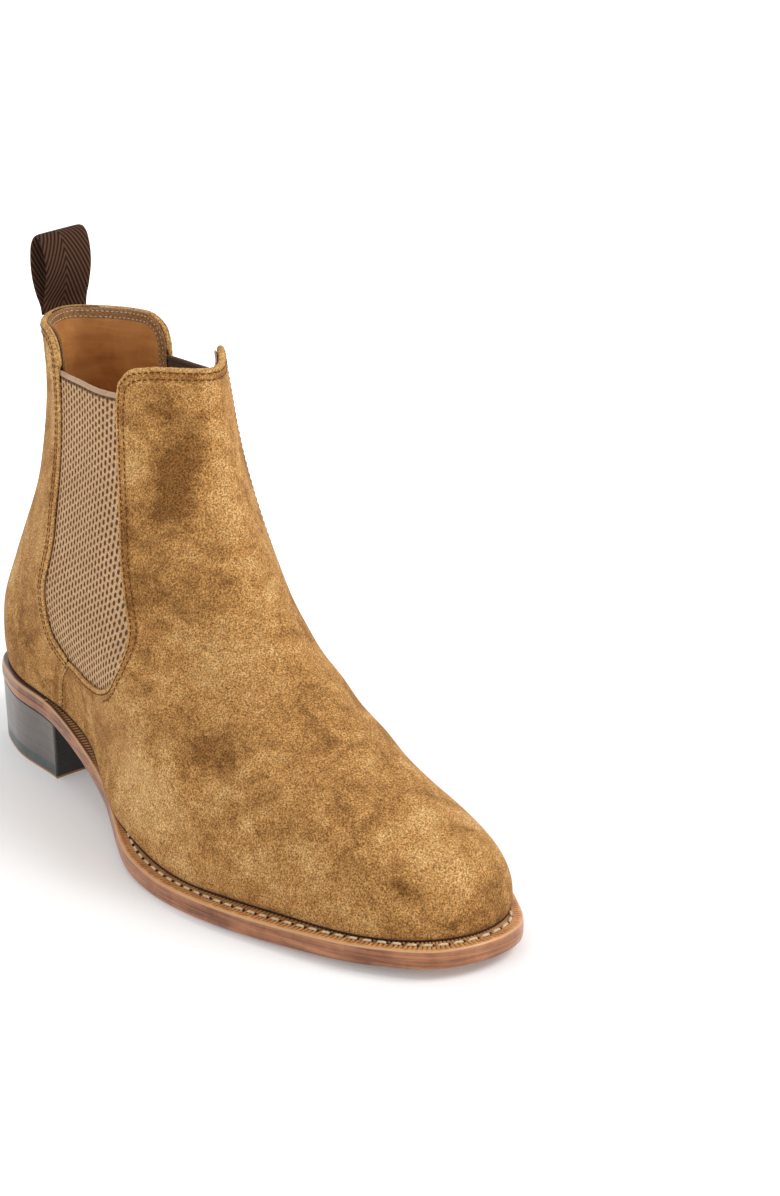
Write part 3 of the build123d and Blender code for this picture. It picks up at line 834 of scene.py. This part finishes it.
# ---- stitches
def stitch_row(name, path, normals, pitch, length, radius, lift=0.0):
    """One row of stitches along a path of points, as one mesh of short rods that swell in the middle."""
    rings, sides = 7, 8
    reach = path_reach(path)
    middles = pitch * (np.arange(int(reach[-1] / pitch)) + 0.5)

    def at(table, places):
        return np.column_stack([np.interp(places, reach, column) for column in table.T])

    start = at(path, middles - length / 2)
    along = at(path, middles + length / 2) - start
    normal = unit(at(normals, middles))
    side = np.cross(normal, unit(along))
    start, along, normal, side = (table[:, None, None] for table in (start, along, normal, side))
    t = np.linspace(0, 1, rings)[:, None, None]
    swell = np.sqrt(np.maximum(1 - (2 * t - 1) ** 4, 0.03))
    turn = TAU * np.arange(sides)[:, None] / sides
    points = start + along * t + normal * (lift + radius * 0.9 * (swell - 0.75))
    points = points + (side * np.cos(turn) + normal * np.sin(turn) * 0.8) * radius * swell
    firsts = range(0, len(middles) * rings * sides, rings * sides)
    faces = [[first + v for v in face[::-1]] for first in firsts for face in tube_faces(rings, sides)]
    return make_object(name, points.reshape(-1, 3), faces)


def skin_path(pairs, depth, with_relief=True):
    """Points and outward normals on a layer from (height, angle) pairs."""
    pairs = np.asarray(pairs)
    z, angle = pairs[:, 0], pairs[:, 1]
    outer = skin(z, angle)
    into = inward(z, angle)
    lift = relief(outer) if with_relief else np.zeros(len(z))
    return settled(outer) + into * (depth - lift)[:, None], -into


def on_side(path, medial):
    """(height, angle) pairs of a side-view path on one side of the boot."""
    path = np.asarray(path)
    return np.column_stack([path[:, 1], side_angle(path[:, 0], path[:, 1], medial)])


def right_normals(path):
    """Unit vectors to the right of a flat path's direction."""
    along = unit(np.gradient(path, axis=0))
    return np.column_stack([along[:, 1], -along[:, 0]])


def beside(path, offset):
    """A side-view path moved sideways, to the left of its direction."""
    return path - right_normals(path) * offset


# ---- placing
def on_root(piece):
    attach(piece, "root")


def with_front(piece):
    """Bakes the piece's transform into its mesh."""
    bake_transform(piece)


def with_gore(piece):
    """Bakes the piece's transform into its mesh."""
    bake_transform(piece)


def with_loop(piece):
    """Bakes the piece's transform into its mesh."""
    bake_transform(piece)


def add_piece(piece, slot, materials, place, *replaced):
    """Dresses a piece, places it and, where it stands for CAD nodes, replaces them."""
    dress(piece, *materials)
    place(piece)
    if replaced:
        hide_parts(*replaced)


# ---- pieces of the upper
def folded_depth(z):
    """Inner face of the suede: doubled along the topline, where its edge is folded in."""
    return SUEDE_THICK + 1.1 * smoothstep((z - GORE_TOP) / 2.5)


def build_suede(materials):
    suede = [materials["suede"]] * 2
    back = Panel(back_outline()).build("back_panel_suede", 0.0, folded_depth, with_relief=True)
    add_piece(back, "suede", suede, on_root, "back_panel")
    front = Panel(front_outline()).build("front_suede", 0.0, folded_depth, with_relief=True)
    add_piece(front, "suede", suede, with_front, "vamp", "front_shaft", "instep_crease")


def build_lining(materials):
    lining = [materials["lining"]] * 2
    shape = {"foot": WELT_TOP + 0.4, "columns": 260, "row_step": 2.0}
    back = Panel(back_outline(), inset=0.5, **shape)
    back = back.build("back_lining_leather", LINING_OUT, LINING_IN, round_off=0.9)
    add_piece(back, "lining", lining, on_root, "back_lining")
    front = Panel(front_outline(), inset=1.3, **shape)
    front = front.build("front_lining_leather", LINING_OUT, LINING_IN, round_off=0.9)
    add_piece(front, "lining", lining, with_front,
              "vamp_lining", "front_shaft_lining", "instep_crease_lining")


def build_gores(materials):
    for side, medial in SIDES:
        cut = Panel(gore_outline(), row_step=1.3, foot=WELT_TOP + 6)
        wanted = (cut.table[:, 2] < 0) == medial
        cut.keep([face for face in cut.faces if all(wanted[v] for v in face)])
        piece = cut.build(f"elastic_{side}", GORE_OUT, GORE_IN, round_off=1.0)
        # The inner faces of elastic and hem get the dark weave: painted shade inside the boot.
        inside = materials["elastic_inside_shaded"]
        add_piece(piece, "elastic", [materials["elastic"], inside], with_gore, f"gore_{side}")
        hem = build_hem(f"elastic_hem_{side}", medial)
        add_piece(hem, "elastic", [materials["hem"], inside], with_gore, f"gore_hem_{side}")


def build_hem(name, medial):
    """Rolled upper hem of the elastic: a flattened tube along its top edge."""
    samples, sides = 60, 16
    high, deep = 1.05, 0.85
    x = np.linspace(GORE_BACK[0][0] - 3, GORE_FRONT[-1][0] + 3, samples)
    line = np.column_stack([x, np.full(samples, GORE_TOP - high)])
    middle, out = skin_path(on_side(line, medial), (GORE_OUT + GORE_IN) / 2, False)
    points, turns = rings_round(middle, out, deep, high, sides)
    inside = [int(math.cos(turns[i % sides]) < 0.1) for i in range((samples - 1) * sides)]
    return make_object(name, points, tube_faces(samples, sides), inside + [0, 0])


def topline_pairs(drop, front):
    """(height, angle) pairs along a panel's edge, drop inside it, from one gore round to the other."""
    if front:
        curves = [smooth_path(GORE_FOOT[2:]), smooth_path(GORE_FRONT)[1:], smooth_path(FRONT_CORNER)[1:]]
        side = beside(np.concatenate(curves), -drop)
    else:
        curves = [smooth_path(GORE_BACK)[::-1], smooth_path(BACK_CORNER)[::-1][1:]]
        side = beside(np.concatenate(curves), drop)
    outer = on_side(side, False)
    inner = on_side(side, True)[::-1]
    last_angle = inner[0][1] - (0 if front else TAU)
    angles = np.linspace(outer[-1][1], last_angle, 40)[1:-1]
    across = np.column_stack([np.full(len(angles), outer[-1][0]), angles])
    return np.concatenate([outer, across, inner])


def build_upper_stitches(materials):
    """Double rows along the toplines and gores, single rows along the gores' feet and side seams."""
    dark, pale = [materials["dark_thread"]], [materials["pale_thread"]]
    for label, front, place in (("front", True, with_front), ("back", False, on_root)):
        for row, drop in enumerate((1.8, 4.2)):
            path, normals = skin_path(topline_pairs(drop, front), 0.0)
            rows = stitch_row(f"{label}_topline_stitches_{row + 1}", path, normals, *UPPER_STITCH)
            add_piece(rows, "suede", dark, place)
    for side, medial in SIDES:
        foot = beside(smooth_path(GORE_FOOT), -1.8)
        seam = beside(smooth_path(SIDE_SEAM)[:32], 2.0)
        for label, line in (("gore_foot", foot), ("side_seam", seam)):
            path, normals = skin_path(on_side(line, medial), 0.0)
            rows = stitch_row(f"{label}_stitches_{side}", path, normals, *UPPER_STITCH)
            add_piece(rows, "suede", dark, with_front)
        tack = smooth_path(GORE_FRONT)[:4] + (0.9, 0)
        path, normals = skin_path(on_side(tack, medial), 0.0)
        bar = stitch_row(f"gore_bar_tack_{side}", path, normals, *BAR_TACK)
        add_piece(bar, "suede", pale, with_front)
    for row, drop in enumerate((1.9, 4.0)):
        path, normals = skin_path(topline_pairs(drop, False), LINING_IN, False)
        rows = stitch_row(f"back_lining_stitches_{row + 1}", path, -normals, *LINING_STITCH)
        add_piece(rows, "lining", pale, on_root)


# ---- pull loop
def build_pull_loop(materials):
    """Tape folded into a standing loop, both ends sewn in between back panel and lining."""
    base_x, base_z = LOOP_BEND_START[0] - 0.2, 171.0
    line = [
        (1.6, 0), (2.0, 5), (4.6, 12), (6.3, 19), (5.6, 26), (2.6, 31.2), (-1.0, 32.4), (-4.4, 29.5),
        (-6.4, 23), (-6.3, 15), (-3.8, 8), (-0.9, 3.5), (-0.2, 0),
    ]
    top = max(z for _, z in line)
    path = smooth_path(line, 0.7)
    across = np.linspace(-1, 1, 25)
    points, flat = [], []
    for (x, z), (nx, nz), reach in zip(path, right_normals(path), path_reach(path)):
        rise = z / top
        half_width = LOOP_HALF_WIDTH + 0.9 * rise
        for side, order in ((1, across), (-1, across[::-1])):
            for t in order:
                thick = LOOP_HALF_THICK * math.sqrt(max(1 - abs(t) ** 8, 0.02))
                bow = 0.8 * (1 - t * t) * (1 - rise)
                lean = rise * (1.1 - 1.3 * t)
                points.append((base_x + x + nx * thick * side - bow, AXIS_Y + t * half_width,
                               base_z + z + nz * thick * side - lean))
                flat.append((t * half_width + half_width, reach))
    piece = make_object("pull_loop_tape", points, tube_faces(len(path), 2 * len(across)))
    set_uv(piece, flat)
    add_piece(piece, "webbing", [materials["webbing"]], with_loop, "pull_loop")


# ---- bottom
def strip(name, first, last, profile, samples, wave=None):
    """Closed bar swept along part of the sole's outline. profile is (inset, height) round its section."""
    loop, out = along_sole(np.linspace(first, last, samples))
    reach = path_reach(loop)
    rows, ribs = [], []
    for inset, height in profile:
        row = at_sole(inset, height, loop, out)
        drop = wave(reach, inset, height) if wave else np.zeros(samples)
        row[:, 2] -= drop
        rows.append(row)
        # the waist has no bright top: it is stained like the bottom of a rib
        ribs.append(np.maximum(drop / RIB_DEPTH, smoothstep((STITCH_START - row[:, 0]) / 20)))
    points = np.stack(rows, axis=1).reshape(-1, 3)
    piece = make_object(name, points, tube_faces(samples, len(profile)))
    set_value(piece, "rib", np.stack(ribs, axis=1).ravel())
    return piece


def breast_places():
    """Places on the outline where the heel's breast meets it: outer side, inner side."""
    ahead = LOOP[:, 0] > HEEL_BREAST
    crossings = np.flatnonzero(ahead != np.roll(ahead, 1))
    return crossings[0], crossings[1]


def fudging(reach, inset, height):
    """Depth of the wheel marks across the top of the welt, which stop short of its edge."""
    edge, fade, lowest = 1.2, 0.8, WELT_TOP - 0.45
    band = smoothstep((inset - edge) / fade) if height > lowest else 0.0
    return RIB_DEPTH * band * (0.5 + 0.5 * np.cos(TAU * reach / RIB_PITCH)) ** 2


def build_sole(materials):
    outer_breast, inner_breast = breast_places()
    welt_profile = [
        (0.06, 4.11), (0.0, 4.3), (0.0, 5.3), (0.1, 6.3), (0.4, 6.85), (1.0, 7.08), (1.6, 7.12), (2.4, 7.12),
        (3.2, 7.1), (4.2, 7.08), (5.2, 7.06), (6.0, 7.04), (6.8, 7.0), (10.9, 6.95), (10.9, 4.11),
    ]
    welt = strip("welt_strip", outer_breast - 8, inner_breast + 8, welt_profile, 2100, fudging)
    add_piece(welt, "welt_leather", [materials["welt"]], on_root, "welt")
    rand_profile = [
        (0.12, 4.11), (0.08, 4.4), (0.15, 5.3), (0.35, 6.3), (0.9, 6.95), (1.6, 7.1), (3.0, 7.0), (10.9, 6.7),
        (10.9, 4.11),
    ]
    rand = strip("heel_rand_strip", inner_breast + 8.5 - len(LOOP), outer_breast - 8.5, rand_profile, 420)
    add_piece(rand, "welt_leather", [materials["rand"]], on_root, "heel_rand")
    build_outsole(materials)
    build_welt_stitches(materials)
    build_welt_groove(materials)


def build_welt_groove(materials):
    """Painted shadow: a dark tube laid along the seam between the upper and the welt, where shade falls."""
    samples, sides, radius = 520, 8, 1.05
    angle = TAU * np.arange(samples) / samples
    z = np.full(samples, 20.0)
    for _ in range(8):
        z = underside(skin(z, angle)[:, 0]) + WELT_TOP + 0.15
    into = inward(z, angle)
    middle = skin(z, angle) + into * (TUCK_DEPTH + 0.1)
    points, _ = rings_round(middle, -into, radius, radius, sides)
    groove = make_object("welt_seam_shadow", points, grid_faces(samples, sides, True, True))
    add_piece(groove, "welt_leather", [materials["hole"]], on_root)


def build_outsole(materials):
    """Leather outsole with burnished, rounded edges."""
    section = [
        (3.0, 0.0), (1.3, 0.05), (0.55, 0.35), (0.15, 1.0), (0.0, 1.9), (0.0, 3.2), (0.0, 3.9), (0.06, 4.08),
        (3.0, OUTSOLE_THICK),
    ]
    loops = [at_sole(inset, height)[::2] for inset, height in section]
    count = len(loops[0])
    points = np.concatenate(loops)
    faces = [face[::-1] for face in grid_faces(len(loops), count, close_columns=True)]
    for level in (0, len(loops) - 1):
        rungs, rung_points = ladder(loops[level], level * count, len(points))
        points = np.concatenate([points, rung_points])
        faces.extend(face[::-1] if level else face for face in rungs)
    piece = make_object("outsole_leather", points, faces)
    add_piece(piece, "sole_leather", [materials["sole_edge"]], on_root, "outsole")


def ladder(loop, first, new_first, columns=8):
    """Quads that close a long loop with rungs from the outer side to the inner side."""
    count = len(loop)
    half = count // 2
    points, faces, rows = [], [], []
    for i in range(1, half):
        a, b = loop[i], loop[count - i]
        inner = range(new_first + len(points), new_first + len(points) + columns - 1)
        points.extend(a + (b - a) * j / columns for j in range(1, columns))
        rows.append([first + i, *inner, first + count - i])
    for upper, lower in zip(rows[:-1], rows[1:]):
        for j in range(columns):
            faces.append((upper[j], lower[j], lower[j + 1], upper[j + 1]))
    for j in range(columns):
        faces.append((first, rows[0][j], rows[0][j + 1]))
        faces.append((first + half, rows[-1][j + 1], rows[-1][j]))
    return faces, points


def build_welt_stitches(materials):
    """Lockstitch round the welt, with a needle hole at each end of a stitch."""
    inset = 4.1
    forward = np.flatnonzero(LOOP[:, 0] > STITCH_START)
    loop, out = along_sole(np.linspace(forward[0], forward[-1], 900))
    path = at_sole(inset, WELT_TOP + 0.1, loop, out)
    up = np.tile([0.0, 0.0, 1.0], (len(path), 1))
    stitches = stitch_row("welt_stitches", path, up, *WELT_STITCH)
    add_piece(stitches, "welt_leather", [materials["pale_thread"]], on_root)
    holes = stitch_row("welt_needle_holes", path[4:], up[4:], *NEEDLE_HOLE, -0.05)
    add_piece(holes, "welt_leather", [materials["hole"]], on_root)


def heel_loop(inset):
    """Heel outline at an inset: round the back, then the hollowed breast."""
    outer_breast, inner_breast = breast_places()
    loop, out = along_sole(np.linspace(inner_breast - len(LOOP), outer_breast, 150))
    back = loop - out * inset
    back[:, 0] = np.minimum(back[:, 0], HEEL_BREAST - 0.02)
    t = np.linspace(0, 1, 26)[1:-1]
    breast = back[-1] + (back[0] - back[-1]) * t[:, None]
    breast[:, 0] -= BREAST_HOLLOW * (1 - (2 * t - 1) ** 2)
    return np.concatenate([back, breast])


def heel_slab(name, low, high, soften=0.05):
    """One lift of the heel. high is a height, or None where it follows the heel seat."""
    edges = [(0.0, soften), (soften, 0.0), (4 * soften, 0.0)]
    loops = []
    for rise, draw_in in edges:
        flat = heel_loop(heel_inset(low) + draw_in)
        loops.append(np.column_stack([flat, np.full(len(flat), low + rise)]))
    for fall, draw_in in edges[::-1]:
        flat = heel_loop(heel_inset(high or SEAT_HEIGHT) + draw_in)
        top = underside(flat[:, 0]) - 0.05 if high is None else np.full(len(flat), high)
        loops.append(np.column_stack([flat, top - fall]))
    return make_object(name, np.concatenate(loops), tube_faces(len(loops), len(flat)))


def heel_inset(height):
    """How far the heel stands inside the sole's edge: it tapers towards the ground."""
    return 1.0 - 0.6 * height / SEAT_HEIGHT


def build_heel(materials):
    """Rubber top piece, leather lifts and the wedge under the seat."""
    levels = [TOP_PIECE_THICK + LIFT_THICK * i for i in range(LIFT_COUNT + 1)]
    lifts = [(f"heel_lift_{i + 1}", levels[i], levels[i + 1]) for i in range(LIFT_COUNT)]
    rubber = ("heel_rubber", [materials["heel_rubber"]])
    leather = ("heel_leather", [materials["heel"]])
    top_piece = heel_slab("heel_top_piece_shaped", 0.0, TOP_PIECE_THICK)
    add_piece(top_piece, *rubber, on_root, "heel_top_piece")
    for name, low, high in [*lifts, ("heel_wedge_lift", levels[-1], None)]:
        add_piece(heel_slab(f"{name}_shaped", low, high), *leather, on_root, name)


def dress_frame(materials):
    """Better materials on the CAD nodes that stay."""
    for key, nodes in (
        ("insole", ("insole", "insole_rib")), ("lining", ("sock_liner",)), ("cork", ("cork_filler",)),
        ("steel", ("shank", "heel_nails")), ("webbing_plain", ("pull_loop_tails",)),
        ("board", ("heel_seat_filler", "toe_puff", "heel_counter", "back_stay")),
    ):
        for node in nodes:
            dress(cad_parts[node], materials[key])


# ---- stage
def build_floor():
    """White floor that glows more with distance, so that it runs out into white."""
    s = Shader("floor", Specular_IOR_Level=0.0)
    s.bsdf.inputs["Emission Color"].default_value = (1.0, 1.0, 1.0, 1.0)
    where = s.coordinates()
    s.finish(s.tones(s.noise(where, 3.0), (0.79, 0.79, 0.79), (0.81, 0.81, 0.81), 0.2), 0.95)
    s.put(s.bsdf.inputs["Emission Strength"], s.span(s.length(where), 0.15, 0.6, 0.17, 0.6))
    corners = [(x * FLOOR_HALF, y * FLOOR_HALF, 0) for x, y in ((-1, -1), (1, -1), (1, 1), (-1, 1))]
    floor = make_object("floor", corners, [(0, 1, 2, 3)])
    dress(floor, s.material)


def build_sky():
    """White to the camera, softer as a light."""
    world = bpy.data.worlds.new("studio")
    bpy.context.scene.world = world
    world.use_nodes = True
    nodes, links = world.node_tree.nodes, world.node_tree.links
    background = nodes["Background"]
    background.inputs["Color"].default_value = (1.0, 1.0, 1.0, 1.0)
    path = nodes.new("ShaderNodeLightPath")
    strength = nodes.new("ShaderNodeMapRange")
    strength.inputs["To Min"].default_value = SKY_STRENGTH
    strength.inputs["To Max"].default_value = 1.0
    links.new(path.outputs["Is Camera Ray"], strength.inputs["Value"])
    links.new(strength.outputs["Result"], background.inputs["Strength"])


def build_lamps():
    for name, place, size, power in LAMPS:
        lamp = bpy.data.lights.new(name, "AREA")
        lamp.size = size
        lamp.energy = power
        holder = bpy.data.objects.new(name, lamp)
        holder.location = Vector(place) * MM
        aim = Vector(LAMP_AIM) - Vector(place)
        holder.rotation_euler = aim.to_track_quat("-Z", "Y").to_euler()
        bpy.context.scene.collection.objects.link(holder)


FLOOR_HALF = 12000
SKY_STRENGTH = 0.62
LAMP_AIM = (0, 0, 70)
# Name, place in millimetres, size in metres and power in watts.
LAMPS = [
    ("key_light", (700, 620, 1050), 0.7, 11.0),
    ("fill_light", (300, -1300, 700), 1.0, 4.0),
    ("back_light", (-900, 300, 900), 0.9, 4.5),
]


CAMERA_PLACE = (709.3, -410.1, 358.4)
CAMERA_AZIMUTH = math.radians(55.68)
CAMERA_ELEVATION = math.radians(18.35)
CAMERA_ROLL = math.radians(-0.34)
CAMERA_LENS = 72.75


def build_camera():
    lens = bpy.data.cameras.new("camera")
    lens.sensor_width = 36.0
    lens.lens = CAMERA_LENS
    lens.clip_start = 0.01
    lens.dof.use_dof = False
    camera = bpy.data.objects.new("camera", lens)
    turn = Matrix.Rotation(CAMERA_AZIMUTH, 4, "Z")
    tip = Matrix.Rotation(math.pi / 2 - CAMERA_ELEVATION, 4, "X")
    camera.matrix_world = (
        Matrix.Translation(Vector(CAMERA_PLACE) * MM) @ turn @ tip @ Matrix.Rotation(CAMERA_ROLL, 4, "Z")
    )
    bpy.context.scene.collection.objects.link(camera)
    bpy.context.scene.camera = camera
    bpy.context.scene.view_settings.view_transform = "Standard"


def main():
    build_camera()
    build_floor()
    build_sky()
    build_lamps()
    materials = make_materials()
    build_suede(materials)
    build_lining(materials)
    build_gores(materials)
    build_upper_stitches(materials)
    build_pull_loop(materials)
    build_sole(materials)
    build_heel(materials)
    dress_frame(materials)


main()
bpy.context.view_layer.update()
